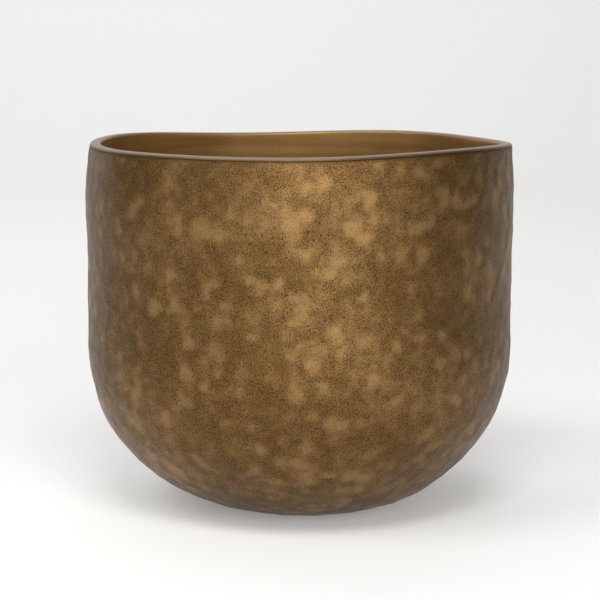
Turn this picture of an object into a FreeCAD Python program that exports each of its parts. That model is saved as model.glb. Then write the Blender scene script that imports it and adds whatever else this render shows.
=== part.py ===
"""Double-skinned brass planter pot with a hammered outside.

Two spun brass skins share one axis. The outer skin carries the hammered finish and stands on
cork pads set into its dished base. The inner skin is smooth, and its rim is turned outwards over
a steel wire, so that the lip looks thick, and meets the top edge of the outer skin in a soldered
butt seam. A cork disc between the two floors passes the weight of the plant to the base.

Frame: +Z up along the pot's axis, origin on the floor under its centre. Millimetres.
"""

import FreeCAD, Part
import math
import os

import Sketcher

PARTS_FOLDER = "parts"
FULL_TURN = 360
PAD_COUNT = 4
FIRST_PAD_ANGLE = 45.0

# alias, value, what it is
SIZES = (
    ("body_diameter", 300.0, "outside diameter of the straight wall"),
    ("body_height", 256.0, "floor to the top of the lip"),
    ("outer_sheet", 1.2, "thickness of the outer skin"),
    ("inner_sheet", 1.0, "thickness of the inner skin"),
    ("lip_width", 7.5, "outside of the wall to its inside, measured across the lip"),
    ("lip_bend", 2.2, "outside radius of the lip's two bends"),
    ("seam_drop", 2.4, "top of the lip down to the soldered seam"),
    ("wire_clearance", 0.05, "gap around the wire inside the lip"),
    ("foot_radius", 50.0, "outside radius of the flat ring that the base stands on"),
    ("foot_width", 6.0, "width of that ring"),
    ("toe_radius", 46.0, "radius of the bend from the foot into the bowl"),
    ("toe_angle", 13.9, "slope of the wall where that bend ends, in degrees"),
    ("dish_depth", 2.5, "height of the dished base above the foot"),
    ("dish_run", 4.0, "width of the ramp up to the dished base"),
    ("foot_lift", 1.0, "how far the cork pads hold the foot off the floor"),
    ("pad_diameter", 16.0, "diameter of a cork pad"),
    ("pad_margin", 4.0, "how far a pad stops short of the dished base's edge"),
    ("pad_edge", 0.8, "rounding of a pad's lower edge"),
    ("spacer_height", 5.0, "thickness of the cork disc between the floors"),
    ("spacer_margin", 3.0, "how far that disc stops short of the dished base's edge"),
    ("floor_blend", 20.0, "radius of the bend from the inner floor into the bowl"),
)

# What follows from the sizes above, as expressions over the sheet.
BODY_RADIUS = "Sizes.body_diameter / 2"
PAD_HEIGHT = "(Sizes.foot_lift + Sizes.dish_depth)"
FOOT_INSIDE = "(Sizes.foot_radius - Sizes.foot_width)"
DISH_RADIUS = f"({FOOT_INSIDE} - Sizes.dish_run)"
PAD_CIRCLE_RADIUS = f"({DISH_RADIUS} - Sizes.pad_margin - Sizes.pad_diameter / 2)"
SEAM_Z = "Sizes.body_height - Sizes.seam_drop"
TOE_SIN = "sin(Sizes.toe_angle * 1 deg)"
TOE_COS = "cos(Sizes.toe_angle * 1 deg)"
BOWL_RADIUS = (
    f"(({BODY_RADIUS} - Sizes.foot_radius - Sizes.toe_radius * {TOE_SIN}) / (1 - {TOE_SIN}))"
)
BOWL_CENTRE_X = f"{BODY_RADIUS} - {BOWL_RADIUS}"
BOWL_CENTRE_Z = (
    f"Sizes.foot_lift + Sizes.toe_radius * (1 - {TOE_COS}) + {BOWL_RADIUS} * {TOE_COS}"
)
INNER_SETBACK = "(Sizes.lip_width - Sizes.inner_sheet)"
DISH_TOP_Z = f"{PAD_HEIGHT} + Sizes.outer_sheet"
INNER_FLOOR_Z = f"{DISH_TOP_Z} + Sizes.spacer_height"
CAVITY_RADIUS = f"({BODY_RADIUS} - Sizes.lip_width)"
LIP_BEND_Z = "Sizes.body_height - Sizes.lip_bend"
WIRE_RADIUS = (
    "(Sizes.lip_width - Sizes.outer_sheet - Sizes.inner_sheet) / 2 - Sizes.wire_clearance"
)
WIRE_CIRCLE_RADIUS = (
    f"{BODY_RADIUS} - (Sizes.lip_width + Sizes.outer_sheet - Sizes.inner_sheet) / 2"
)
WIRE_Z = f"Sizes.body_height - Sizes.inner_sheet - Sizes.wire_clearance - ({WIRE_RADIUS})"
SPACER_RADIUS = f"{DISH_RADIUS} - Sizes.spacer_margin"


def make_sheet(doc):
    """The driving dimensions, one row each: name, value, meaning."""
    sheet = doc.addObject("Spreadsheet::Sheet", "Sizes")
    for row, (alias, value, meaning) in enumerate(SIZES, start=1):
        sheet.set(f"A{row}", alias)
        sheet.set(f"B{row}", str(value))
        sheet.set(f"C{row}", meaning)
        sheet.setAlias(f"B{row}", alias)
    doc.recompute()
    return sheet


def value_of(doc, expression):
    """An expression's number with the present sizes, for placing geometry before it is constrained."""
    result = doc.getObject("Sizes").evalExpression(expression)
    return float(getattr(result, "Value", result))


class Outline:
    """A closed sketch in its body's XZ plane, drawn point by point and tied to the sheet."""

    def __init__(self, doc, body, name):
        self.doc = doc
        self.sketch = body.newObject("Sketcher::SketchObject", name)
        self.sketch.AttachmentSupport = [(origin_feature(body, "XZ_Plane"), "")]
        self.sketch.MapMode = "FlatFace"

    def size(self, expression):
        return value_of(self.doc, expression)

    def point(self, x, z):
        return FreeCAD.Vector(self.size(x), self.size(z), 0)

    def line(self, start, end):
        return self.sketch.addGeometry(Part.LineSegment(start, end), False)

    def arc(self, centre, radius, start_angle, end_angle):
        """An arc drawn anticlockwise from start_angle to end_angle, in degrees."""
        circle = Part.Circle(centre, FreeCAD.Vector(0, 0, 1), radius)
        span = math.radians(start_angle), math.radians(end_angle)
        return self.sketch.addGeometry(Part.ArcOfCircle(circle, *span), False)

    def tie(self, kind, *where):
        """A constraint with no size, such as Coincident, Horizontal or Tangent."""
        self.sketch.addConstraint(Sketcher.Constraint(kind, *where))

    def drive(self, kind, *where, by):
        """A constraint whose size is an expression over the sheet."""
        datum = self.size(by)
        if kind == "Angle":
            datum = math.radians(datum)
        index = self.sketch.addConstraint(Sketcher.Constraint(kind, *where, datum))
        self.sketch.setExpression(f"Constraints[{index}]", by)

    def place(self, line, end, x=None, z=None):
        """Puts one end of a line or arc at a driven distance from the origin."""
        if x is not None:
            self.drive("DistanceX", -1, 1, line, end, by=x)
        if z is not None:
            self.drive("DistanceY", -1, 1, line, end, by=z)


def origin_feature(body, role):
    return next(f for f in body.Origin.OriginFeatures if f.Role == role)


def make_body(doc, label):
    body = doc.addObject("PartDesign::Body", label)
    body.Label = label
    return body


def revolve(body, sketch, name):
    feature = body.newObject("PartDesign::Revolution", name)
    feature.Profile = (sketch, [""])
    feature.ReferenceAxis = (sketch, ["V_Axis"])
    feature.Angle = FULL_TURN
    return feature


def highest_flat_face(shape):
    """The name of the horizontal face with the greatest height."""
    flat = [
        (face.CenterOfMass.z, f"Face{number}")
        for number, face in enumerate(shape.Faces, start=1)
        if isinstance(face.Surface, Part.Plane)
    ]
    return max(flat)[1]


def circle_edges_at(shape, height):
    """The names of the circular edges at one height."""
    return [
        f"Edge{number}"
        for number, edge in enumerate(shape.Edges, start=1)
        if isinstance(edge.Curve, Part.Circle)
        and abs(edge.BoundBox.ZMin - height) < 1e-6
        and abs(edge.BoundBox.ZMax - height) < 1e-6
    ]


def skin_of(doc, body, solid, thickness, name):
    """Opens a revolved solid at its top and keeps a wall of the sheet's thickness inside it."""
    doc.recompute()
    feature = body.newObject("PartDesign::Thickness", name)
    feature.Base = (solid, [highest_flat_face(solid.Shape)])
    feature.Reversed = True
    feature.Join = "Intersection"
    feature.setExpression("Value", thickness)
    return feature


def outer_shell(doc):
    """The outer skin: dished base, flat foot, toe bend, bowl and straight wall up to the seam."""
    body = make_body(doc, "outer_shell")
    o = Outline(doc, body, "OuterOutline")
    toe, bowl_radius = o.size("Sizes.toe_angle"), o.size(BOWL_RADIUS)
    dish_middle = o.point("0", PAD_HEIGHT)
    dish_edge = o.point(DISH_RADIUS, PAD_HEIGHT)
    foot_in = o.point(FOOT_INSIDE, "Sizes.foot_lift")
    foot_out = o.point("Sizes.foot_radius", "Sizes.foot_lift")
    bowl_top = o.point(BODY_RADIUS, BOWL_CENTRE_Z)
    wall_top = o.point(BODY_RADIUS, SEAM_Z)
    top_middle = o.point("0", SEAM_Z)
    toe_centre = o.point("Sizes.foot_radius", f"Sizes.foot_lift + Sizes.toe_radius")
    bowl_centre = o.point(BOWL_CENTRE_X, BOWL_CENTRE_Z)

    dish = o.line(dish_middle, dish_edge)
    ramp = o.line(dish_edge, foot_in)
    foot = o.line(foot_in, foot_out)
    toe_arc = o.arc(toe_centre, o.size("Sizes.toe_radius"), -90, toe - 90)
    bowl = o.arc(bowl_centre, bowl_radius, toe - 90, 0)
    wall = o.line(bowl_top, wall_top)
    top = o.line(wall_top, top_middle)
    axis = o.line(top_middle, dish_middle)

    for item, following in ((dish, ramp), (ramp, foot), (wall, top), (top, axis), (axis, dish)):
        o.tie("Coincident", item, 2, following, 1)
    for item, following in ((foot, toe_arc), (toe_arc, bowl), (bowl, wall)):
        o.tie("Tangent", item, 2, following, 1)
    for level in (dish, foot, top):
        o.tie("Horizontal", level)
    for upright in (wall, axis):
        o.tie("Vertical", upright)
    o.tie("PointOnObject", axis, 2, -2)
    o.place(dish, 2, x=DISH_RADIUS, z=PAD_HEIGHT)
    o.place(foot, 1, x=FOOT_INSIDE, z="Sizes.foot_lift")
    o.place(foot, 2, x="Sizes.foot_radius")
    o.drive("Radius", toe_arc, by="Sizes.toe_radius")
    o.drive("Angle", toe_arc, by="Sizes.toe_angle * 1 deg")
    o.place(wall, 2, x=BODY_RADIUS, z=SEAM_Z)

    solid = revolve(body, o.sketch, "OuterSolid")
    skin_of(doc, body, solid, "Sizes.outer_sheet", "OuterSkin")
    return body


def inner_shell(doc):
    """The inner skin: flat floor, bowl and wall parallel to the outer skin, and the turned lip."""
    body = make_body(doc, "inner_shell")
    o = Outline(doc, body, "InnerOutline")
    skin_x = f"{BODY_RADIUS} - {INNER_SETBACK}"
    bowl_radius = f"{BOWL_RADIUS} - {INNER_SETBACK}"
    drop = o.size(BOWL_CENTRE_Z) - o.size(INNER_FLOOR_Z)
    radius = o.size(bowl_radius)
    floor_angle = -math.degrees(math.asin(drop / radius))
    floor_x = o.size(BOWL_CENTRE_X) + math.sqrt(radius**2 - drop**2)
    floor_edge = FreeCAD.Vector(floor_x, o.size(INNER_FLOOR_Z), 0)
    floor_middle = o.point("0", INNER_FLOOR_Z)
    top_middle = o.point("0", LIP_BEND_Z)
    wall_top = o.point(skin_x, LIP_BEND_Z)

    floor = o.line(floor_middle, floor_edge)
    bowl = o.arc(o.point(BOWL_CENTRE_X, BOWL_CENTRE_Z), radius, floor_angle, 0)
    wall = o.line(o.point(skin_x, BOWL_CENTRE_Z), wall_top)
    top = o.line(wall_top, top_middle)
    axis = o.line(top_middle, floor_middle)

    for item, following in ((floor, bowl), (wall, top), (top, axis), (axis, floor)):
        o.tie("Coincident", item, 2, following, 1)
    o.tie("Tangent", bowl, 2, wall, 1)
    for level in (floor, top):
        o.tie("Horizontal", level)
    for upright in (wall, axis):
        o.tie("Vertical", upright)
    o.tie("PointOnObject", axis, 2, -2)
    o.place(floor, 1, z=INNER_FLOOR_Z)
    o.place(bowl, 3, z=BOWL_CENTRE_Z)
    o.drive("Radius", bowl, by=bowl_radius)
    o.place(wall, 2, x=skin_x, z=LIP_BEND_Z)

    solid = revolve(body, o.sketch, "InnerSolid")
    doc.recompute()
    blend = body.newObject("PartDesign::Fillet", "FloorBlend")
    blend.Base = (solid, circle_edges_at(solid.Shape, o.size(INNER_FLOOR_Z)))
    blend.setExpression("Radius", "Sizes.floor_blend")
    skin_of(doc, body, blend, "Sizes.inner_sheet", "InnerSkin")
    turned_lip(doc, body)
    return body


def turned_lip(doc, body):
    """The inner skin's rim, turned outwards and down to the seam, added to the top of its wall."""
    o = Outline(doc, body, "LipOutline")
    sheet, bend = "Sizes.inner_sheet", "Sizes.lip_bend"
    inner_bend_x = f"{CAVITY_RADIUS} + {bend}"
    outer_bend_x = f"{BODY_RADIUS} - {bend}"
    under = f"Sizes.body_height - {sheet}"
    big, small = o.size(bend), o.size(f"{bend} - {sheet}")
    inner_centre = o.point(inner_bend_x, LIP_BEND_Z)
    outer_centre = o.point(outer_bend_x, LIP_BEND_Z)
    skin_x = f"{CAVITY_RADIUS} + {sheet}"
    edge_x = f"{BODY_RADIUS} - {sheet}"

    foot = o.line(o.point(skin_x, LIP_BEND_Z), o.point(CAVITY_RADIUS, LIP_BEND_Z))
    inner_bend = o.arc(inner_centre, big, 90, 180)
    top = o.line(o.point(inner_bend_x, "Sizes.body_height"), o.point(outer_bend_x, "Sizes.body_height"))
    outer_bend = o.arc(outer_centre, big, 0, 90)
    outside = o.line(o.point(BODY_RADIUS, LIP_BEND_Z), o.point(BODY_RADIUS, SEAM_Z))
    edge = o.line(o.point(BODY_RADIUS, SEAM_Z), o.point(edge_x, SEAM_Z))
    inside = o.line(o.point(edge_x, SEAM_Z), o.point(edge_x, LIP_BEND_Z))
    outer_hollow = o.arc(outer_centre, small, 0, 90)
    ceiling = o.line(o.point(outer_bend_x, under), o.point(inner_bend_x, under))
    inner_hollow = o.arc(inner_centre, small, 90, 180)

    for item, end, following, start in (
        (foot, 2, inner_bend, 2),
        (outside, 2, edge, 1),
        (edge, 2, inside, 1),
        (inner_hollow, 2, foot, 1),
    ):
        o.tie("Coincident", item, end, following, start)
    for item, end, following, start in (
        (inner_bend, 1, top, 1),
        (top, 2, outer_bend, 2),
        (outer_bend, 1, outside, 1),
        (inside, 2, outer_hollow, 1),
        (outer_hollow, 2, ceiling, 1),
        (ceiling, 2, inner_hollow, 1),
    ):
        o.tie("Tangent", item, end, following, start)
    for level in (foot, top, edge, ceiling):
        o.tie("Horizontal", level)
    for upright in (outside, inside):
        o.tie("Vertical", upright)
    o.tie("Coincident", inner_bend, 3, inner_hollow, 3)
    o.tie("Coincident", outer_bend, 3, outer_hollow, 3)
    o.place(inner_bend, 3, x=inner_bend_x, z=LIP_BEND_Z)
    o.place(outer_bend, 3, x=outer_bend_x)
    o.drive("Radius", inner_bend, by=bend)
    o.drive("Radius", inner_hollow, by=f"{bend} - {sheet}")
    o.place(edge, 1, x=BODY_RADIUS, z=SEAM_Z)
    o.place(foot, 2, z=LIP_BEND_Z)

    return revolve(body, o.sketch, "TurnedLip")


def rim_wire(doc):
    """The steel wire that the lip is turned over, a full ring between the two skins."""
    wire = doc.addObject("Part::Torus", "rim_wire")
    wire.Label = "rim_wire"
    wire.setExpression("Radius1", WIRE_CIRCLE_RADIUS)
    wire.setExpression("Radius2", WIRE_RADIUS)
    wire.setExpression("Placement.Base.z", WIRE_Z)
    return wire


def round_disc(doc, label, radius, height):
    """A body with one padded circle, standing on its own XY plane."""
    body = make_body(doc, label)
    sketch = body.newObject("Sketcher::SketchObject", f"{label}_circle")
    sketch.AttachmentSupport = [(origin_feature(body, "XY_Plane"), "")]
    sketch.MapMode = "FlatFace"
    circle = Part.Circle(FreeCAD.Vector(), FreeCAD.Vector(0, 0, 1), value_of(doc, radius))
    sketch.addGeometry(circle, False)
    sketch.addConstraint(Sketcher.Constraint("Coincident", 0, 3, -1, 1))
    size = sketch.addConstraint(Sketcher.Constraint("Radius", 0, circle.Radius))
    sketch.setExpression(f"Constraints[{size}]", radius)
    pad = body.newObject("PartDesign::Pad", f"{label}_pad")
    pad.Profile = (sketch, [""])
    pad.setExpression("Length", height)
    doc.recompute()
    return body


def floor_spacer(doc):
    """The cork disc on the dished base that carries the inner floor."""
    body = round_disc(doc, "floor_spacer", SPACER_RADIUS, "Sizes.spacer_height")
    body.setExpression("Placement.Base.z", DISH_TOP_Z)
    return body


def floor_pad(doc, number):
    """One cork pad under the dished base, with its lower edge rounded."""
    label = f"floor_pad_{number}"
    body = round_disc(doc, label, "Sizes.pad_diameter / 2", PAD_HEIGHT)
    pad = body.Tip
    rounding = body.newObject("PartDesign::Fillet", f"{label}_edge")
    rounding.Base = (pad, circle_edges_at(pad.Shape, 0.0))
    rounding.setExpression("Radius", "Sizes.pad_edge")
    angle = FIRST_PAD_ANGLE + (number - 1) * FULL_TURN / PAD_COUNT
    body.setExpression("Placement.Base.x", f"{PAD_CIRCLE_RADIUS} * cos({angle} deg)")
    body.setExpression("Placement.Base.y", f"{PAD_CIRCLE_RADIUS} * sin({angle} deg)")
    return body


def check(doc, pieces):
    """Stops before anything is written if an object failed or a piece isn't one sound solid."""
    for item in doc.Objects:
        if {"Invalid", "Error"} & set(item.State):
            raise RuntimeError(f"{item.Label} failed to recompute: {item.State}")
        if item.TypeId == "Sketcher::SketchObject" and not item.FullyConstrained:
            raise RuntimeError(f"the sketch {item.Label} isn't fully constrained")
    for piece in pieces:
        shape = piece.Shape
        if shape.isNull() or not shape.isValid() or len(shape.Solids) != 1:
            raise RuntimeError(f"{piece.Label} isn't one valid solid")


def main():
    doc = FreeCAD.newDocument("planter_pot")
    make_sheet(doc)
    pieces = [outer_shell(doc), inner_shell(doc), rim_wire(doc), floor_spacer(doc)]
    pieces += [floor_pad(doc, number) for number in range(1, PAD_COUNT + 1)]
    doc.recompute()
    check(doc, pieces)
    os.makedirs(PARTS_FOLDER, exist_ok=True)
    for piece in pieces:
        piece.Shape.exportStep(os.path.join(PARTS_FOLDER, f"{piece.Label}.step"))
        box = piece.Shape.optimalBoundingBox(False)
        print(
            f"{piece.Label}: volume {piece.Shape.Volume:.1f} mm3,"
            f" {box.XLength:.2f} mm across, z {box.ZMin:.2f} to {box.ZMax:.2f}"
        )


main()
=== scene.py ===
"""Looks of the double-skinned hammered brass planter pot, laid out as a Blender add-on.

Each visible piece is a surface of revolution: a profile of radius and height, swept round the
pot's axis on a grid of rows and columns, then moved by the small unevenness of hand work. The
same unevenness is applied to every piece, so that the two skins, the lip and the wire stay
together. The hammer marks are real relief on the outer skin, and each mark also says where its
material is drawn lighter.
"""

import bpy
import numpy as np
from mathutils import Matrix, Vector


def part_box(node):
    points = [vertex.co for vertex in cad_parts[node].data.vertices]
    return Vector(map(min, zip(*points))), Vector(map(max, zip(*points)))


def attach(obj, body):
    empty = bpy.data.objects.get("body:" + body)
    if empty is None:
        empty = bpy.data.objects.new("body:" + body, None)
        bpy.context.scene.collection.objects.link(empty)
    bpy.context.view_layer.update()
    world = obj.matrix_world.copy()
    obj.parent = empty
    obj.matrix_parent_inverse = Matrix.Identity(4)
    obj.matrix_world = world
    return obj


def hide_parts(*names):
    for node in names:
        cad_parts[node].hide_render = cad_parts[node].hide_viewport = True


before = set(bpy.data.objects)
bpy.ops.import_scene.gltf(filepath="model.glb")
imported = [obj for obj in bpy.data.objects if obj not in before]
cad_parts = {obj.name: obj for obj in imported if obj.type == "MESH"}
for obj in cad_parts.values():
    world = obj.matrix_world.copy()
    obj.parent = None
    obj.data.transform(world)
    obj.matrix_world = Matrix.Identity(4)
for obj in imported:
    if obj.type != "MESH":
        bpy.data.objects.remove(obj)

bl_info = {
    "name": "Hammered Brass Planter",
    "version": (1, 0, 0),
    "blender": (4, 5, 0),
    "location": "3D View > Sidebar > Planter",
    "description": "Hammered outer skin, spun inner skin with a turned lip, rim wire and cork pads",
    "category": "Add Mesh",
}

MM = 0.001
TURN = 2 * np.pi
HUB = 2 * MM  # radius of the smallest ring of a skin, which a fan of triangles closes
EDGE_ROWS = 4  # rows round the rounded edge of a sheet

# Waves of the rim: how many go round the pot, height in millimetres, place of a crest in degrees.
RIM_WAVES = ((1, 0.5, 130), (2, 0.8, -27), (3, 1.0, 58), (4, 0.85, -33))

# The blended relief of the hammer marks is cut off here, then carried to a range of 0 to 1.
RELIEF_LOW = -0.8
RELIEF_RANGE = 2.4
SURFACE_LEVEL = 0.75  # how dark the painted shade is along the seam's crease
SEAM_SHADE = 0.75  # how much of the seam's metal the wax hides

SKIN_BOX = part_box("outer_shell")
LINER_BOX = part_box("inner_shell")
WIRE_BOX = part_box("rim_wire")
SPACER_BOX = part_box("floor_spacer")
PAD_NODES = tuple(sorted(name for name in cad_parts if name.startswith("floor_pad_")))


def half_width(box):
    """Half of a round node's width, from its box."""
    return float(max(box[1][0], box[1][1]))


# --- Settings -----------------------------------------------------------------------------


class PlanterShape(bpy.types.PropertyGroup):
    """Sizes of the two skins. The heights and the wall's radius come from the frame."""

    wall_radius: bpy.props.FloatProperty(
        name="Wall Radius", description="Outside radius of the straight wall",
        default=round(half_width(SKIN_BOX), 4), unit="LENGTH",
    )
    lip_top: bpy.props.FloatProperty(
        name="Lip Top", description="Height of the lip's flat top before it is made uneven",
        default=float(LINER_BOX[1][2]), unit="LENGTH",
    )
    seam_height: bpy.props.FloatProperty(
        name="Seam Height", description="Where the outer skin ends and the turned lip begins",
        default=float(SKIN_BOX[1][2]), unit="LENGTH",
    )
    foot_height: bpy.props.FloatProperty(
        name="Foot Height", description="Height of the flat foot above the floor",
        default=float(SKIN_BOX[0][2]), unit="LENGTH",
    )
    inner_floor: bpy.props.FloatProperty(
        name="Inner Floor", description="Height of the inner skin's underside",
        default=float(LINER_BOX[0][2]), unit="LENGTH",
    )
    outer_sheet: bpy.props.FloatProperty(
        name="Outer Sheet", description="Thickness of the outer skin",
        default=1.2 * MM, unit="LENGTH",
    )
    inner_sheet: bpy.props.FloatProperty(
        name="Inner Sheet", description="Thickness of the inner skin",
        default=1.0 * MM, unit="LENGTH",
    )
    lip_width: bpy.props.FloatProperty(
        name="Lip Width", description="Width across the lip", default=7.5 * MM, unit="LENGTH",
    )
    lip_bend: bpy.props.FloatProperty(
        name="Lip Bend", description="Outside radius of the lip's two bends",
        default=2.2 * MM, unit="LENGTH",
    )
    foot_radius: bpy.props.FloatProperty(
        name="Foot Radius", description="Outside radius of the flat foot",
        default=50 * MM, unit="LENGTH",
    )
    foot_width: bpy.props.FloatProperty(
        name="Foot Width", description="Width of the flat foot", default=6 * MM, unit="LENGTH",
    )
    dish_run: bpy.props.FloatProperty(
        name="Dish Run", description="Width of the ramp up to the dished base",
        default=4 * MM, unit="LENGTH",
    )
    dish_depth: bpy.props.FloatProperty(
        name="Dish Depth", description="Height of the dished base above the foot",
        default=2.5 * MM, unit="LENGTH",
    )
    toe_radius: bpy.props.FloatProperty(
        name="Toe Radius", description="Radius of the bend from the foot into the bowl",
        default=46 * MM, unit="LENGTH",
    )
    toe_angle: bpy.props.FloatProperty(
        name="Toe Angle", description="Slope of the wall where the toe bend ends",
        default=np.radians(13.9), unit="ROTATION", subtype="ANGLE",
    )
    floor_blend: bpy.props.FloatProperty(
        name="Floor Blend", description="Radius of the bend from the inner floor into the bowl",
        default=20 * MM, unit="LENGTH",
    )
    edge_round: bpy.props.FloatProperty(
        name="Edge Rounding", description="Rounding of the two sheet edges that meet in the seam",
        default=0.45 * MM, unit="LENGTH",
    )


class PlanterHandwork(bpy.types.PropertyGroup):
    """How uneven the hand-worked brass is."""

    dent_pitch: bpy.props.FloatProperty(
        name="Dent Pitch", description="Usual distance from one hammer mark to the next",
        default=13 * MM, unit="LENGTH",
    )
    dent_depth: bpy.props.FloatProperty(
        name="Dent Depth", description="Usual depth of a hammer mark below the ridges round it",
        default=0.32 * MM, unit="LENGTH",
    )
    dent_seed: bpy.props.IntProperty(
        name="Dent Seed", description="Seed of the hammer marks' places", default=7, min=0,
    )
    rim_rise: bpy.props.FloatProperty(
        name="Rim Rise", description="Mean height that the uneven rim gains", default=1.5 * MM,
        unit="LENGTH",
    )
    peak: bpy.props.FloatProperty(
        name="Rim Peak", description="Height of the narrow peak at one side of the rim",
        default=1.2 * MM, unit="LENGTH",
    )
    neck: bpy.props.FloatProperty(
        name="Neck", description="How far the wall pulls in just under the rim",
        default=1.8 * MM, unit="LENGTH",
    )
    roll: bpy.props.FloatProperty(
        name="Roll", description="How far the lip itself leans in", default=1.2 * MM,
        unit="LENGTH",
    )
    belly: bpy.props.FloatProperty(
        name="Belly", description="How far one side swells below the rim", default=1.0 * MM,
        unit="LENGTH",
    )
    waist: bpy.props.FloatProperty(
        name="Waist", description="How far the other side pulls in at mid height",
        default=0.4 * MM, unit="LENGTH",
    )
    foot_shift: bpy.props.FloatProperty(
        name="Foot Shift", description="How far the foot sits to one side", default=2.6 * MM,
        unit="LENGTH",
    )
    sag: bpy.props.FloatProperty(
        name="Sag", description="How far one side swells low in the bowl", default=1.3 * MM,
        unit="LENGTH",
    )


class PlanterFinish(bpy.types.PropertyGroup):
    """Colours of the antique brass and the cork."""

    # Gold is the lighter brass, where the random tone is high and in the light spots of the marks.
    gold: bpy.props.FloatVectorProperty(
        name="Gold", description="Rubbed brass on the high spots", subtype="COLOR", size=4,
        default=(0.275, 0.161, 0.059, 1), min=0, max=1,
    )
    bronze: bpy.props.FloatVectorProperty(
        name="Bronze", description="Toned brass between the high spots", subtype="COLOR", size=4,
        default=(0.146, 0.073, 0.015, 1), min=0, max=1,
    )
    # Patina: dark wax in the speckle, which the brass has; in the seam and on the lip's outside the
    # same colour is painted shade.
    patina_and_shade: bpy.props.FloatVectorProperty(
        name="Patina", description="Dark wax in the speckle and the seam", subtype="COLOR", size=4,
        default=(0.034, 0.018, 0.005, 1), min=0, max=1,
    )
    lining: bpy.props.FloatVectorProperty(
        name="Lining", description="Lighter brass of the smooth inner skin", subtype="COLOR",
        size=4, default=(0.43, 0.24, 0.075, 1), min=0, max=1,
    )
    # Lip sheen: greyer colour on the lip's top, a painted sheen.
    lip_sheen: bpy.props.FloatVectorProperty(
        name="Rubbed Lip", description="Greyer metal on the lip, where hands rub it",
        subtype="COLOR", size=4, default=(0.30, 0.235, 0.18, 1), min=0, max=1,
    )
    cork: bpy.props.FloatVectorProperty(
        name="Cork", description="Body colour of the cork", subtype="COLOR", size=4,
        default=(0.50, 0.31, 0.16, 1), min=0, max=1,
    )


class PlanterStudio(bpy.types.PropertyGroup):
    """The camera's settings."""

    distance: bpy.props.FloatProperty(
        name="Camera Distance", description="Level distance from the pot's axis to the camera",
        default=1.35, unit="LENGTH",
    )
    eye_height: bpy.props.FloatProperty(
        name="Eye Height", description="Height of the camera above the lip", default=0.084,
        unit="LENGTH",
    )
    aim_height: bpy.props.FloatProperty(
        name="Aim Height", description="Height on the axis that the camera looks at",
        default=0.1447, unit="LENGTH",
    )
    lens: bpy.props.FloatProperty(
        name="Lens", description="Focal length in millimetres on a 36 mm sensor", default=114.6,
    )


# --- Numbers and meshes ---------------------------------------------------------------------


def bend(centre, radius, start, end, count):
    """Points on a circle in the radius-height plane, from start to end degrees:
    centre + radius * (cos, sin)."""
    turn = np.radians(np.linspace(start, end, count))
    return np.column_stack((centre[0] + radius * np.cos(turn), centre[1] + radius * np.sin(turn)))


def run(start, end, count):
    """Evenly spaced points on the straight line from start to end."""
    return np.linspace(start, end, count)


def joined(*stretches):
    """Stretches of a profile laid end to end, without the points that two of them share."""
    points = np.vstack(stretches)
    step = np.linalg.norm(np.diff(points, axis=0), axis=1)
    return points[np.append(True, step > 1e-7)]


def offset_normals(profile):
    """Unit normals of a profile, on its right-hand side: the tangent turned by a quarter."""
    tangent = np.gradient(profile, axis=0)
    normal = np.column_stack((tangent[:, 1], -tangent[:, 0]))
    return normal / np.linalg.norm(normal, axis=1, keepdims=True)


def swept(profile, columns):
    """The surface (r cos a, r sin a, z) of a profile (r, z) swept round the axis. Returns its
    points and their outward normals, each (rows, columns, 3), and the angle a of each point."""
    angle = np.arange(columns) * TURN / columns
    radius, height = profile[:, :1], profile[:, 1:]
    normal = offset_normals(profile)
    cos, sin = np.cos(angle), np.sin(angle)
    place = np.stack(
        (radius * cos, radius * sin, np.repeat(height, columns, axis=1)), axis=-1
    )
    outward = np.stack(
        (normal[:, :1] * cos, normal[:, :1] * sin, np.repeat(normal[:, 1:], columns, axis=1)),
        axis=-1,
    )
    return place, outward, np.broadcast_to(angle, place.shape[:2])


def ring_mesh(name, grid, first_pole=None, last_pole=None, looped=False):
    """A closed mesh from a grid of (rows, columns, 3) points that wraps round in its columns.

    Rows are joined by quads. The first and last rows close in fans of triangles on their poles,
    or, when looped, the last row joins the first."""
    rows, columns = grid.shape[:2]
    index = np.arange(rows * columns).reshape(rows, columns)
    lower = index if looped else index[:-1]
    upper = np.roll(index, -1, axis=0) if looped else index[1:]
    quads = np.stack(
        (lower, np.roll(lower, -1, axis=1), np.roll(upper, -1, axis=1), upper), axis=-1
    ).reshape(-1, 4)
    points = grid.reshape(-1, 3)
    fans = []
    for pole, row, flip in ((first_pole, index[0], True), (last_pole, index[-1], False)):
        if pole is None:
            continue
        tip = np.full(columns, len(points))
        points = np.vstack((points, pole))
        sides = (row, np.roll(row, -1)) if not flip else (np.roll(row, -1), row)
        fans.append(np.column_stack((*sides, tip)))
    corners = np.concatenate([quads.ravel()] + [fan.ravel() for fan in fans])
    totals = np.concatenate([np.full(len(quads), 4)] + [np.full(len(fan), 3) for fan in fans])
    mesh = bpy.data.meshes.new(name)
    mesh.vertices.add(len(points))
    mesh.vertices.foreach_set("co", points.astype(np.float32).ravel())
    mesh.loops.add(len(corners))
    mesh.loops.foreach_set("vertex_index", corners.astype(np.int32))
    mesh.polygons.add(len(totals))
    starts = np.concatenate(([0], np.cumsum(totals)[:-1]))
    mesh.polygons.foreach_set("loop_start", starts.astype(np.int32))
    mesh.polygons.foreach_set("loop_total", totals.astype(np.int32))
    mesh.polygons.foreach_set("use_smooth", np.ones(len(totals), bool))
    mesh.update(calc_edges=True)
    if mesh.validate(verbose=False):
        raise RuntimeError(f"the mesh of {name} had faults")
    return mesh


def add_piece(name, mesh, material, replaced):
    """Puts a finished mesh in the scene as the piece that stands for a CAD node."""
    piece = bpy.data.objects.new(name, mesh)
    bpy.context.scene.collection.objects.link(piece)
    mesh.materials.append(material)
    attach(piece, "root")
    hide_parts(replaced)


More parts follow.
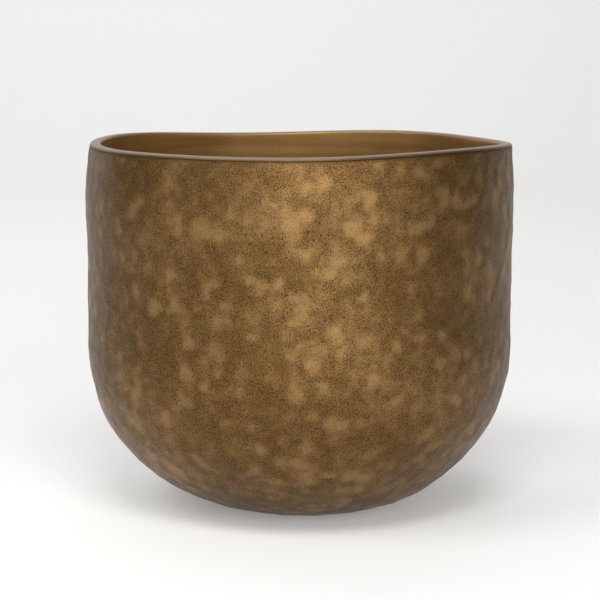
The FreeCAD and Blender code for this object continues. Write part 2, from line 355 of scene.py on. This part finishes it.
def point_attribute(mesh, name, values):
    """Stores one number per vertex for the materials to read. Poles repeat the last value."""
    values = np.asarray(values, np.float32).ravel()
    spare = len(mesh.vertices) - len(values)
    values = np.append(values, np.full(spare, values[-1]))
    mesh.attributes.new(name, "FLOAT", "POINT").data.foreach_set("value", values)


def smooth_step(low, high, value):
    """0 at low and before, 1 at high and beyond, an S-shaped curve between: 3t^2 - 2t^3."""
    t = np.clip((value - low) / (high - low), 0, 1)
    return t * t * (3 - 2 * t)


def hill(value, centre, spread):
    """A bell curve of height 1: e to the minus ((value - centre) / spread)^2."""
    return np.exp(-(((value - centre) / spread) ** 2))


def ripples(points, wavelength, seed, waves=28):
    """Soft random relief in space: the sum of many plane waves with random directions and phases,
    over the root of their number, which mostly stays between -1.5 and 1.5."""
    draw = np.random.default_rng(seed)
    direction = draw.normal(size=(waves, 3))
    direction /= np.linalg.norm(direction, axis=1, keepdims=True)
    number = TURN / (wavelength * draw.uniform(0.7, 1.4, (waves, 1)))
    phase = draw.uniform(0, TURN, waves)
    return np.sin(points @ (direction * number).T + phase).sum(axis=-1) / np.sqrt(waves)


# --- Profiles -------------------------------------------------------------------------------


def bowl_arc(shape):
    """The bowl's circle: tangent to the straight wall, and to the toe bend at the toe angle.
    Its radius is (wall - foot - toe * sin) / (1 - sin). Returns (centre, radius)."""
    sin, cos = np.sin(shape.toe_angle), np.cos(shape.toe_angle)
    reach = shape.wall_radius - shape.foot_radius - shape.toe_radius * sin
    radius = reach / (1 - sin)
    height = shape.foot_height + shape.toe_radius * (1 - cos) + radius * cos
    return (shape.wall_radius - radius, height), radius


def outer_profile(shape, spacing):
    """The outer skin's outside, from the middle of its dished base out to the foot, round the
    toe and the bowl and up the wall, then over its rounded top edge."""
    centre, bowl = bowl_arc(shape)
    toe = np.degrees(shape.toe_angle)
    dish = shape.foot_height + shape.dish_depth
    foot_in = shape.foot_radius - shape.foot_width
    dish_edge = foot_in - shape.dish_run
    toe_centre = (shape.foot_radius, shape.foot_height + shape.toe_radius)
    turn = shape.edge_round
    edge_centre = (shape.wall_radius - turn, shape.seam_height - turn)
    arc_rows = int(bowl * np.radians(90 - toe) / spacing)
    wall_rows = int((edge_centre[1] - centre[1]) / spacing)
    return joined(
        run((HUB, dish), (dish_edge - MM, dish), 9),
        run((dish_edge, dish), (foot_in, shape.foot_height), 5),
        run((foot_in + 0.5 * MM, shape.foot_height), (shape.foot_radius, shape.foot_height), 4),
        bend(toe_centre, shape.toe_radius, -90, toe - 90, 7),
        bend(centre, bowl, toe - 90, 0, arc_rows),
        run((shape.wall_radius, centre[1]), (shape.wall_radius, edge_centre[1]), wall_rows),
        bend(edge_centre, turn, 0, 90, EDGE_ROWS),
    )


def outer_back(shape):
    """The outer skin's hidden inside face, from the top edge back down to the middle."""
    centre, bowl = bowl_arc(shape)
    toe = np.degrees(shape.toe_angle)
    sheet = shape.outer_sheet
    wall = shape.wall_radius - sheet
    floor = shape.foot_height + shape.dish_depth + sheet
    toe_centre = (shape.foot_radius, shape.foot_height + shape.toe_radius)
    foot_in = shape.foot_radius - shape.foot_width
    return joined(
        run((wall, shape.seam_height), (wall, centre[1]), 8),
        bend(centre, bowl - sheet, 0, toe - 90, 14),
        bend(toe_centre, shape.toe_radius - sheet, toe - 90, -90, 3),
        run((foot_in + sheet / 2, shape.foot_height + sheet), (foot_in - shape.dish_run, floor), 2),
        run((foot_in - shape.dish_run - MM, floor), (HUB, floor), 3),
    )


def liner_profile(shape):
    """The inner skin all round: its hidden outer face up to the lip's hollow, the flange down
    to the seam, the flange's outside, the lip's bends and top, and the smooth inside."""
    centre, bowl = bowl_arc(shape)
    sheet, lip = shape.inner_sheet, shape.lip_bend
    cavity = shape.wall_radius - shape.lip_width
    back = bowl - shape.lip_width + sheet
    front = bowl - shape.lip_width
    low, floor = shape.inner_floor, shape.inner_floor + sheet
    bend_height = shape.lip_top - lip
    inner_bend = (cavity + lip, bend_height)
    outer_bend = (shape.wall_radius - lip, bend_height)
    flange_in = shape.wall_radius - sheet
    turn = shape.edge_round
    edge_centre = (shape.wall_radius - turn, shape.seam_height + turn)
    low_blend = floor_bend(centre, back, low, shape.floor_blend)
    floor_blend = floor_bend(centre, front, floor, shape.floor_blend - sheet)
    return joined(
        run((HUB, low), (low_blend[0][0], low), 3),
        bend(*low_blend, -90, blend_angle(centre, low_blend), 3),
        bend(centre, back, blend_angle(centre, low_blend), 0, 12),
        run((cavity + sheet, centre[1]), (cavity + sheet, bend_height), 6),
        bend(inner_bend, lip - sheet, 180, 90, 4),
        bend(outer_bend, lip - sheet, 90, 0, 4),
        run((flange_in, bend_height), (flange_in, shape.seam_height), 2),
        bend(edge_centre, turn, -90, 0, EDGE_ROWS),
        run((shape.wall_radius, edge_centre[1]), (shape.wall_radius, bend_height), 3),
        bend(outer_bend, lip, 0, 90, 9),
        run((outer_bend[0], shape.lip_top), (inner_bend[0], shape.lip_top), 4),
        bend(inner_bend, lip, 90, 180, 9),
        run((cavity, bend_height), (cavity, centre[1]), 46),
        bend(centre, front, 0, blend_angle(centre, floor_blend), 40),
        bend(*floor_blend, blend_angle(centre, floor_blend), -90, 5),
        run((floor_blend[0][0], floor), (HUB, floor), 8),
    )


def floor_bend(centre, bowl, floor, radius):
    """The circle that blends a level floor into the bowl from inside: it touches the floor, and
    its centre is (bowl - radius) from the bowl's centre. Returns (centre, radius)."""
    height = floor + radius
    reach = np.sqrt((bowl - radius) ** 2 - (centre[1] - height) ** 2)
    return (centre[0] + reach, height), radius


def blend_angle(centre, blend):
    """The angle, in degrees, at which a floor bend meets the bowl: in line with both centres."""
    (x, z), _ = blend
    return np.degrees(np.arctan2(z - centre[1], x - centre[0]))


# --- Handwork -------------------------------------------------------------------------------


def hand_shift(points, angle, shape, work):
    """How far hand work has moved each point, as (rows, columns, 3) metres.

    The rim rises and falls as a sum of four waves round the pot and one narrow peak at its side,
    e to the 10 (cos a - 1), which all fade down the wall. All round, the wall pulls in under the
    rim and the lip leans in, most on the side away from the peak. That side also swells below
    the rim and low in the bowl, and the peak's side pulls in a little at mid height. The whole
    wall has a soft random drift. The foot sits a little to one side. Nothing rises or falls at
    the foot, so that the pot stands level."""
    height = points[..., 2]
    share = height / shape.lip_top
    wave = work.rim_rise * np.ones_like(angle)
    for count, size, crest in RIM_WAVES:
        wave = wave + size * MM * np.cos(count * (angle - np.radians(crest)))
    wave = wave + work.peak * np.exp(10 * (np.cos(angle) - 1))
    lift = wave * smooth_step(0.30, 1.0, share)
    full = 0.5 - 0.5 * np.cos(angle)
    # These hills and steps are placed by the share of the pot's height, but the drift's by metres.
    swell = work.belly * hill(share, 0.84, 0.13) * (0.1 + 0.9 * full)
    swell += work.sag * full * (hill(share, 0.23, 0.07) + 0.4 * hill(share, 0.5, 0.24))
    swell -= work.waist * hill(share, 0.60, 0.12) * (1 - full)
    swell -= work.neck * smooth_step(0.88, 1.0, share) * (0.75 + 0.25 * full)
    swell -= work.roll * smooth_step(0.96, 1.01, share) * (0.3 + 0.7 * full)
    swell += 0.35 * MM * ripples(points, 0.09, 3) * smooth_step(0.02, 0.08, height)
    sideways = work.foot_shift * smooth_step(0.12, 0.02, share)
    return np.stack((swell * np.cos(angle) + sideways, swell * np.sin(angle), lift), axis=-1)


def squares(points, marks):
    """Squared distances from each point to each mark: |p|^2 + |m|^2 - 2 p.m"""
    square = (points**2).sum(1)[:, None] + (marks**2).sum(1) - 2 * points @ marks.T
    return np.clip(square, 0, None)


def scattered_marks(ring, pitch, draw):
    """Centres of the hammer marks on the surface that a ring of points, from the foot to the seam,
    sweeps round the axis. They are set on a spiral of golden-angle steps, evenly over the
    surface's area, and jittered both ways by a quarter of the pitch."""
    reach = np.append(0, np.cumsum(np.linalg.norm(np.diff(ring, axis=0), axis=1)))
    radius = np.hypot(ring[:, 0], ring[:, 1])
    strip = np.diff(reach) * TURN * (radius[1:] + radius[:-1]) / 2
    covered = np.append(0, np.cumsum(strip))
    area_per_mark = np.sqrt(0.75) * pitch**2
    count = int(covered[-1] / area_per_mark)
    along = np.interp((np.arange(count) + 0.5) / count * covered[-1], covered, reach)
    along += draw.normal(0, 0.25 * pitch, count)
    mark_radius = np.interp(along, reach, radius)
    mark_height = np.interp(along, reach, ring[:, 2])
    turn = np.arange(count) * np.pi * (3 - np.sqrt(5))
    turn += draw.normal(0, 0.25 * pitch, count) / np.maximum(mark_radius, 5 * MM)
    return np.column_stack((mark_radius * np.cos(turn), mark_radius * np.sin(turn), mark_height))


def hammer_marks(points, work):
    """Two fields over the outer skin: the relief, from 0 in a mark to 1 on a ridge, and the
    light spots, from 0 to 1 in the middle of the marks that are drawn lightest.

    Near each point the squares of its distances to the marks, over a mark's own radius, are
    blended with a soft minimum: -log(sum of e^(-k * square)) / k. Each mark becomes a shallow
    bowl, and soft ridges stand where two bowls meet. The light spots are a sum of soft spots, each
    as strong as its mark's own random lightness. Their outlines wander, because their distances are
    taken from points that soft random relief has moved."""
    draw = np.random.default_rng(work.dent_seed)
    pitch = work.dent_pitch
    marks = scattered_marks(points[:, 0], pitch, draw)
    count = len(marks)
    # Each mark's own radius, head start in the blend, lightness, and radius of its light spot.
    size = 0.55 * pitch * draw.uniform(0.85, 1.25, count)
    bias = draw.uniform(0.0, 0.5, count)
    lightness = draw.uniform(0, 1, count) ** 1.6
    spot = pitch * draw.uniform(0.24, 0.44, count)
    sharpness = 4.0
    flat = points.reshape(-1, 3)
    drift = np.column_stack([ripples(flat, 9 * MM, work.dent_seed + axis) for axis in (1, 2, 3)])
    wandered = flat + MM * drift
    relief, light_spots = np.empty(len(flat)), np.empty(len(flat))
    for chunk in np.array_split(np.arange(len(flat)), 1 + len(flat) // 8000):
        pull = np.exp(-sharpness * (squares(flat[chunk], marks) / size**2 - bias))
        relief[chunk] = -np.log(pull.sum(axis=1) + 1e-12) / sharpness
        light_spots[chunk] = np.exp(-squares(wandered[chunk], marks) / spot**2) @ lightness
    relief = np.clip(relief, RELIEF_LOW, RELIEF_LOW + RELIEF_RANGE).reshape(points.shape[:2])
    light_spots = np.clip(light_spots, 0, 1).reshape(points.shape[:2])
    return (relief - RELIEF_LOW) / RELIEF_RANGE, light_spots


# --- Materials ------------------------------------------------------------------------------


class Nodes:
    """A material's node tree, filled in from the textures to the shader."""

    def __init__(self, name):
        self.material = bpy.data.materials.new(name)
        self.material.use_nodes = True
        self.tree = self.material.node_tree
        self.tree.nodes.clear()
        self.shader = self.add("ShaderNodeBsdfPrincipled")
        output = self.add("ShaderNodeOutputMaterial")
        self.link(self.shader.outputs["BSDF"], output.inputs["Surface"])
        self.place = self.add("ShaderNodeTexCoord").outputs["Object"]

    def add(self, kind, **settings):
        """A new node of a kind, with its own settings."""
        node = self.tree.nodes.new(kind)
        for name, value in settings.items():
            setattr(node, name, value)
        return node

    def link(self, output, socket):
        """A link from a node's output to another node's socket."""
        self.tree.links.new(output, socket)

    def feed(self, socket, value):
        """Links a node's output to a socket, or sets the socket's own value."""
        if isinstance(value, bpy.types.NodeSocket):
            self.link(value, socket)
        else:
            socket.default_value = value

    def noise(self, size, detail=2.0, roughness=0.5, stretch=None):
        """Noise whose features are about this many metres across."""
        node = self.add("ShaderNodeTexNoise")
        place = self.place
        if stretch:
            mapping = self.add("ShaderNodeMapping")
            mapping.inputs["Scale"].default_value = stretch
            self.link(place, mapping.inputs["Vector"])
            place = mapping.outputs["Vector"]
        self.link(place, node.inputs["Vector"])
        node.inputs["Scale"].default_value = 1 / size
        node.inputs["Detail"].default_value = detail
        node.inputs["Roughness"].default_value = roughness
        return node.outputs["Fac"]

    def cells(self, size):
        """Outputs of random cells about this many metres across, such as the distance to the
        nearest cell's centre and that cell's colour."""
        node = self.add("ShaderNodeTexVoronoi")
        self.link(self.place, node.inputs["Vector"])
        node.inputs["Scale"].default_value = 1 / size
        return node.outputs

    def attribute(self, name):
        """A number that the mesh stores per vertex."""
        return self.add("ShaderNodeAttribute", attribute_name=name).outputs["Fac"]

    def math(self, operation, *values):
        """The result of one operation on outputs or plain numbers."""
        node = self.add("ShaderNodeMath", operation=operation)
        for socket, value in zip(node.inputs, values):
            self.feed(socket, value)
        return node.outputs["Value"]

    def ramp(self, value, low, high, to_low=0.0, to_high=1.0):
        """Value between low and high, carried smoothly to the new range."""
        node = self.add("ShaderNodeMapRange", interpolation_type="SMOOTHSTEP")
        self.feed(node.inputs["Value"], value)
        for name, number in (
            ("From Min", low), ("From Max", high), ("To Min", to_low), ("To Max", to_high)
        ):
            self.feed(node.inputs[name], number)
        return node.outputs["Result"]

    def mix(self, factor, first, second):
        """The first colour where the factor is 0 and the second where it is 1."""
        node = self.add("ShaderNodeMix", data_type="RGBA")
        self.feed(node.inputs["Factor"], factor)
        self.feed(node.inputs["A"], first)
        self.feed(node.inputs["B"], second)
        return node.outputs["Result"]

    def bump(self, height, distance, strength):
        """Fine relief of the surface, this many metres high, from a height of 0 to 1."""
        node = self.add("ShaderNodeBump")
        node.inputs["Distance"].default_value = distance
        node.inputs["Strength"].default_value = strength
        self.link(height, node.inputs["Height"])
        self.link(node.outputs["Normal"], self.shader.inputs["Normal"])

    def set(self, **values):
        """Sets or links the shader's inputs, by their names with _ for a space."""
        for name, value in values.items():
            self.feed(self.shader.inputs[name.replace("_", " ")], value)


def hammered_brass(n, finish):
    """Antiqued brass: bronze all over under a dense fine stipple of dark wax, and gold in soft
    spots. One attribute is 1 in the middle of the lightest hammer marks, and "seam" is
    how dark the painted shade along the seam's crease is."""
    broad = n.noise(0.055, detail=2)
    close = n.noise(0.008, detail=2)
    tone = n.math("MULTIPLY_ADD", broad, 1.0, -0.5)
    tone = n.math("ADD", tone, n.math("MULTIPLY_ADD", close, 1.2, -0.6))
    # Lighter towards gold in the middle of the lightest hammer marks.
    tone = n.math("MULTIPLY_ADD", n.attribute("light_spots"), 0.85, tone)
    tone = n.ramp(tone, -0.35, 1.0)
    base = n.mix(tone, tuple(finish.bronze), tuple(finish.gold))
    dots = n.ramp(n.noise(0.0007, detail=1, roughness=0.6), 0.45, 0.62)
    stipple = n.math("MULTIPLY", dots, n.ramp(tone, 0.1, 0.85, 0.92, 0.42))
    # The stipple is dark wax; the seam attribute adds painted shade along the seam's crease.
    dark = n.math("MAXIMUM", stipple, n.attribute("seam"))
    n.set(
        Base_Color=n.mix(dark, base, tuple(finish.patina_and_shade)),
        Metallic=0.92,
        Roughness=n.ramp(dark, 0.0, 1.0, 0.46, 0.56),
        Coat_Weight=0.12,
        Coat_Roughness=0.40,
    )
    relief = n.math("SUBTRACT", n.math("MULTIPLY", close, 0.8), n.math("MULTIPLY", stipple, 0.3))
    n.bump(relief, distance=0.4 * MM, strength=0.35)
    return n.material


def spun_brass(n, finish):
    """The inner skin: the same brass, smoother, with faint rings from spinning. The attribute
    "lip" is 1 on the lip's top, which gets a greyer painted sheen, "flange" is 1 on the lip's
    outside, which gets painted shade nearly as dark as the wax, and "seam" is the painted shade at
    the seam, as on the outer skin."""
    rings = n.noise(0.007, detail=2, stretch=(0.04, 0.04, 1.0))
    tone = n.math("ADD", n.math("MULTIPLY", n.noise(0.07), 0.6), n.math("MULTIPLY", rings, 0.5))
    deep = tuple(0.62 * part for part in finish.lining[:3]) + (1,)
    base = n.mix(n.ramp(tone, 0.35, 0.75), deep, tuple(finish.lining))
    # The lip's top is greyer: a painted sheen.
    lip_with_sheen = n.mix(n.attribute("lip"), base, tuple(finish.lip_sheen))
    stipple = n.ramp(n.noise(0.001, detail=1, roughness=0.6), 0.52, 0.70, 0.0, 0.3)
    # Painted shade on the lip's outside, under its outer bend, nearly as dark as the wax.
    flange_shade = n.math("MULTIPLY", n.attribute("flange"), 0.85)
    flange_shade = n.math("MULTIPLY", flange_shade, n.math("SUBTRACT", 1.0, n.attribute("lip")))
    dark = n.math("MAXIMUM", n.math("MAXIMUM", stipple, flange_shade), n.attribute("seam"))
    n.set(
        Base_Color=n.mix(dark, lip_with_sheen, tuple(finish.patina_and_shade)),
        Metallic=0.75,
        Roughness=n.ramp(rings, 0.3, 0.7, 0.46, 0.54),
        Coat_Weight=0.2,
        Coat_Roughness=0.35,
    )
    n.bump(rings, distance=0.25 * MM, strength=0.2)
    return n.material


def drawn_steel(n):
    """The rim wire: grey steel with a drawn grain."""
    grain = n.noise(0.0006, detail=2)
    n.set(
        Base_Color=n.mix(grain, (0.30, 0.30, 0.31, 1), (0.50, 0.50, 0.51, 1)),
        Metallic=1.0,
        Roughness=n.ramp(grain, 0.3, 0.7, 0.3, 0.45),
    )
    n.bump(grain, distance=0.05 * MM, strength=0.3)
    return n.material


def pressed_cork(n, finish):
    """Pressed cork: light granules of a few sizes with dark gaps and a few dark flecks."""
    granule = n.cells(0.0020)
    shade = n.noise(0.0035, detail=3)
    light = tuple(finish.cork)
    deep = tuple(0.5 * c for c in light[:3]) + (1,)
    body = n.mix(n.ramp(shade, 0.3, 0.7), deep, light)
    tint = n.add("ShaderNodeSeparateColor")
    n.link(granule["Color"], tint.inputs["Color"])
    body = n.mix(n.math("MULTIPLY", tint.outputs["Red"], 0.45), body, (0.62, 0.42, 0.24, 1))
    gap = n.ramp(granule["Distance"], 0.42, 0.62, 0.0, 0.45)
    fleck = n.ramp(n.noise(0.0012, detail=1), 0.66, 0.72, 0.0, 0.8)
    dark = n.math("MAXIMUM", gap, fleck)
    n.set(
        Base_Color=n.mix(dark, body, (0.08, 0.045, 0.02, 1)),
        Roughness=n.ramp(shade, 0.3, 0.7, 0.8, 0.95),
    )
    n.bump(n.math("SUBTRACT", 1.0, dark), distance=0.1 * MM, strength=0.4)
    return n.material


def shared(maker, *settings):
    """The material that a maker fills in, made once and then found again by the maker's name."""
    name = f"planter_{maker.__name__}"
    return bpy.data.materials.get(name) or maker(Nodes(name), *settings)


# --- Operators ------------------------------------------------------------------------------


class PLANTER_OT_outer_skin(bpy.types.Operator):
    """Add the hammered outer skin with its dished base"""

    bl_idname = "planter.outer_skin"
    bl_label = "Outer Skin"

    columns: bpy.props.IntProperty(name="Columns", default=460, min=64)
    spacing: bpy.props.FloatProperty(name="Row Spacing", default=1.95 * MM, unit="LENGTH")

    def execute(self, context):
        """The outside profile and the hidden back make one closed surface. On the outside the
        relief is added along the normal. It fades out towards the seam and the foot."""
        shape, work = context.scene.planter_shape, context.scene.planter_handwork
        front = outer_profile(shape, self.spacing)
        back = outer_back(shape)
        profile = joined(front, back)
        place, normal, angle = swept(profile, self.columns)
        shift = hand_shift(place, angle, shape, work)
        outside = len(front) - EDGE_ROWS
        relief, light_spots = hammer_marks(place[:outside], work)
        height = place[:outside, :, 2]
        radius = np.hypot(place[:outside, :, 0], place[:outside, :, 1])
        seam_fade, foot_fade = 5 * MM, 8 * MM
        fade = smooth_step(0, seam_fade, shape.seam_height - height)
        fade = fade * smooth_step(shape.foot_radius - MM, shape.foot_radius + foot_fade, radius)
        dent = (relief - SURFACE_LEVEL) * RELIEF_RANGE * work.dent_depth
        place = place + shift
        place[:outside] += normal[:outside] * (dent * fade)[..., None]
        mesh = ring_mesh("outer_skin", place, place[0].mean(axis=0), place[-1].mean(axis=0))
        spots = np.zeros(place.shape[:2])
        spots[:outside] = light_spots
        point_attribute(mesh, "light_spots", spots)
        # Painted shade along the outer skin's top edge, just under the seam.
        shade_below = 0.9 * MM
        seam = smooth_step(-shade_below, 0, place[..., 2] - shift[..., 2] - shape.seam_height)
        point_attribute(mesh, "seam", SEAM_SHADE * seam)
        material = shared(hammered_brass, context.scene.planter_finish)
        add_piece("outer_skin", mesh, material, "outer_shell")
        return {"FINISHED"}


class PLANTER_OT_inner_skin(bpy.types.Operator):
    """Add the smooth inner skin with its turned lip"""

    bl_idname = "planter.inner_skin"
    bl_label = "Inner Skin and Lip"

    columns: bpy.props.IntProperty(name="Columns", default=400, min=64)

    def execute(self, context):
        """One closed profile is swept round the axis and moved as the outer skin is."""
        shape, work = context.scene.planter_shape, context.scene.planter_handwork
        profile = liner_profile(shape)
        place, _, angle = swept(profile, self.columns)
        shift = hand_shift(place, angle, shape, work)
        level = place[..., 2].copy()
        place = place + shift
        mesh = ring_mesh("inner_skin", place, place[0].mean(axis=0), place[-1].mean(axis=0))
        # The lip's top, which gets a greyer painted sheen.
        lip = smooth_step(-0.65 * shape.lip_bend, -0.2 * shape.lip_bend, level - shape.lip_top)
        point_attribute(mesh, "lip", lip)
        # The lip's outside, under its outer bend, which gets painted shade.
        reach = np.hypot(place[..., 0] - shift[..., 0], place[..., 1] - shift[..., 1])
        flange = smooth_step(-0.6 * shape.lip_bend, 0, reach - shape.wall_radius)
        point_attribute(mesh, "flange", flange)
        # Painted shade on the lip's outside, just above the seam.
        shade_above = 1.5 * MM
        seam = smooth_step(shade_above, 0, level - shape.seam_height)
        seam = seam * (np.hypot(place[..., 0], place[..., 1]) > shape.wall_radius - 2 * MM)
        point_attribute(mesh, "seam", SEAM_SHADE * seam)
        material = shared(spun_brass, context.scene.planter_finish)
        add_piece("inner_skin", mesh, material, "inner_shell")
        return {"FINISHED"}


class PLANTER_OT_rim_wire(bpy.types.Operator):
    """Add the steel wire inside the lip"""

    bl_idname = "planter.rim_wire"
    bl_label = "Rim Wire"

    def execute(self, context):
        """A circle carried round the axis, moved as the lip is."""
        shape, work = context.scene.planter_shape, context.scene.planter_handwork
        thick = (WIRE_BOX[1][2] - WIRE_BOX[0][2]) / 2
        inset = (shape.lip_width + shape.outer_sheet - shape.inner_sheet) / 2
        radius, height = shape.wall_radius - inset, (WIRE_BOX[1][2] + WIRE_BOX[0][2]) / 2
        profile = bend((radius, height), thick, 0, 360, 17)[:-1]
        place, _, angle = swept(profile, 256)
        middle = np.stack(
            (radius * np.cos(angle), radius * np.sin(angle), np.full(angle.shape, height)),
            axis=-1,
        )
        place = place + hand_shift(middle, angle, shape, work)
        mesh = ring_mesh("rim_wire_ring", place, looped=True)
        add_piece("rim_wire_ring", mesh, shared(drawn_steel), "rim_wire")
        return {"FINISHED"}


def cork_disc(name, middle, radius, low, high, rounding, columns, seed):
    """A flat cork disc with a rounded lower edge. Soft random relief, cut about 0.1 mm into the
    disc, roughens its rim, and leaves alone the two flat faces that bear on other pieces."""
    top_edge = 0.3 * MM
    profile = joined(
        run((MM, low), (radius - rounding, low), 7),
        bend((radius - rounding, low + rounding), rounding, -90, 0, 5),
        run((radius, low + rounding), (radius, high - top_edge), 5),
        bend((radius - top_edge, high - top_edge), top_edge, 0, 90, 3),
        run((radius - top_edge, high), (MM, high), 5),
    )
    place, normal, _ = swept(profile, columns)
    rough = 0.06 * MM * (ripples(place, 2.4 * MM, seed) - 1.5)
    flat = np.abs(normal[..., 2]) > 0.99
    place = place + normal * np.where(flat, 0.0, rough)[..., None]
    place = place + np.array([middle[0], middle[1], 0])
    return ring_mesh(name, place, (middle[0], middle[1], low), (middle[0], middle[1], high))


class PLANTER_OT_spacer(bpy.types.Operator):
    """Add the cork disc between the two floors"""

    bl_idname = "planter.spacer"
    bl_label = "Floor Spacer"

    def execute(self, context):
        low, high = SPACER_BOX
        radius = half_width(SPACER_BOX)
        mesh = cork_disc("spacer_disc", (0, 0), radius, low[2], high[2], 0.3 * MM, 160, 11)
        material = shared(pressed_cork, context.scene.planter_finish)
        add_piece("spacer_disc", mesh, material, "floor_spacer")
        return {"FINISHED"}


class PLANTER_OT_pads(bpy.types.Operator):
    """Add the cork pads under the dished base"""

    bl_idname = "planter.pads"
    bl_label = "Floor Pads"

    def execute(self, context):
        material = shared(pressed_cork, context.scene.planter_finish)
        for number, node in enumerate(PAD_NODES):
            low, high = (np.array(corner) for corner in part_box(node))
            middle = (low + high) / 2
            radius = (high - low)[:2].max() / 2
            name = node.replace("floor_pad", "cork_pad")
            mesh = cork_disc(name, middle, radius, low[2], high[2], 0.8 * MM, 96, 20 + number)
            add_piece(name, mesh, material, node)
        return {"FINISHED"}


def softbox(name, place, target, size, power):
    """A white rectangular light of some watts at a place, turned to face a target."""
    light = bpy.data.lights.new(name, "AREA")
    light.shape = "RECTANGLE"
    light.size, light.size_y = size
    light.energy = power
    lamp = bpy.data.objects.new(name, light)
    lamp.location = place
    lamp.rotation_euler = (Vector(target) - Vector(place)).to_track_quat("-Z", "Y").to_euler()
    bpy.context.scene.collection.objects.link(lamp)


class PLANTER_OT_studio(bpy.types.Operator):
    """Add the paper floor that sweeps up behind the pot, the lights and the camera"""

    bl_idname = "planter.studio"
    bl_label = "Studio"

    def execute(self, context):
        scene, studio = context.scene, context.scene.planter_studio
        top = scene.planter_shape.lip_top
        middle = (0, 0, top / 2)
        scene.view_settings.view_transform = "Standard"

        front, back, curve, height, half = -8.0, 2.4, 1.2, 4.0, 7.0
        ground = joined(
            run((front, 0), (back, 0), 3),
            bend((back, curve), curve, -90, 0, 25),
            run((back + curve, curve), (back + curve, height), 2),
        )
        across = np.repeat([-half, half], len(ground))
        corners = np.column_stack((across, np.vstack((ground, ground))))
        near = np.arange(len(ground) - 1)
        quads = np.column_stack((near, near + len(ground), near + len(ground) + 1, near + 1))
        mesh = bpy.data.meshes.new("sweep")
        mesh.from_pydata(corners.tolist(), [], quads.tolist())
        mesh.polygons.foreach_set("use_smooth", np.ones(len(quads), bool))
        sweep = bpy.data.objects.new("sweep", mesh)
        scene.collection.objects.link(sweep)
        n = Nodes("studio_paper")
        n.set(Base_Color=(0.80, 0.80, 0.79, 1), Roughness=0.9)
        n.set(Emission_Color=(1, 1, 1, 1), Emission_Strength=0.19)
        mesh.materials.append(n.material)

        world = bpy.data.worlds.new("studio")
        world.use_nodes = True
        background = world.node_tree.nodes["Background"]
        background.inputs["Color"].default_value = (1, 1, 1, 1)
        background.inputs["Strength"].default_value = 0.14
        scene.world = world

        # Place, target, and size in metres, then watts.
        softbox("key", (0.05, -1.2, 1.6), (0, -0.2, 0.1), (0.8, 0.6), 16)
        softbox("front", (0.55, -2.3, 0.85), middle, (3.4, 1.3), 36)
        softbox("low", (0.1, -2.1, 0.22), middle, (2.4, 0.35), 6)
        softbox("left", (-1.9, -0.9, 0.8), middle, (0.9, 1.4), 6)
        softbox("right", (1.5, -1.8, 0.8), middle, (0.8, 1.2), 2.5)
        softbox("left_back", (-1.7, 1.3, 0.8), middle, (0.7, 1.4), 2.5)
        softbox("top", (-1.3, -0.9, 1.9), (0, 0, top), (1.2, 1.0), 14)
        softbox("paper", (-0.6, 1.2, 2.6), (-0.2, 3.4, 0.6), (2.6, 1.0), 36)

        camera = bpy.data.cameras.new("camera")
        camera.lens = studio.lens
        camera.sensor_width = 36
        eye = bpy.data.objects.new("camera", camera)
        eye.location = (0, -studio.distance, top + studio.eye_height)
        aim = Vector((0, 0, studio.aim_height)) - eye.location
        eye.rotation_euler = aim.to_track_quat("-Z", "Y").to_euler()
        scene.collection.objects.link(eye)
        scene.camera = eye
        return {"FINISHED"}


class PLANTER_PT_parts(bpy.types.Panel):
    """The planter's operators and settings in the sidebar"""

    bl_idname = "PLANTER_PT_parts"
    bl_label = "Hammered Brass Planter"
    bl_space_type = "VIEW_3D"
    bl_region_type = "UI"
    bl_category = "Planter"

    def draw(self, context):
        for operator in OPERATORS:
            self.layout.operator(operator.bl_idname)
        for group in GROUPS:
            settings = getattr(context.scene, group)
            box = self.layout.box()
            box.label(text=group.replace("_", " ").title())
            for name in settings.__annotations__:
                box.prop(settings, name)


GROUPS = {
    "planter_shape": PlanterShape,
    "planter_handwork": PlanterHandwork,
    "planter_finish": PlanterFinish,
    "planter_studio": PlanterStudio,
}
OPERATORS = (
    PLANTER_OT_outer_skin,
    PLANTER_OT_inner_skin,
    PLANTER_OT_rim_wire,
    PLANTER_OT_spacer,
    PLANTER_OT_pads,
    PLANTER_OT_studio,
)


def register():
    for item in (*GROUPS.values(), *OPERATORS, PLANTER_PT_parts):
        bpy.utils.register_class(item)
    for name, group in GROUPS.items():
        setattr(bpy.types.Scene, name, bpy.props.PointerProperty(type=group))


def unregister():
    for name in GROUPS:
        delattr(bpy.types.Scene, name)
    for item in (PLANTER_PT_parts, *OPERATORS, *GROUPS.values()):
        bpy.utils.unregister_class(item)


def main():
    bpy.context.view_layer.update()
    register()
    for operator in OPERATORS:
        group, name = operator.bl_idname.split(".")
        getattr(getattr(bpy.ops, group), name)()


if __name__ == "__main__":
    main()
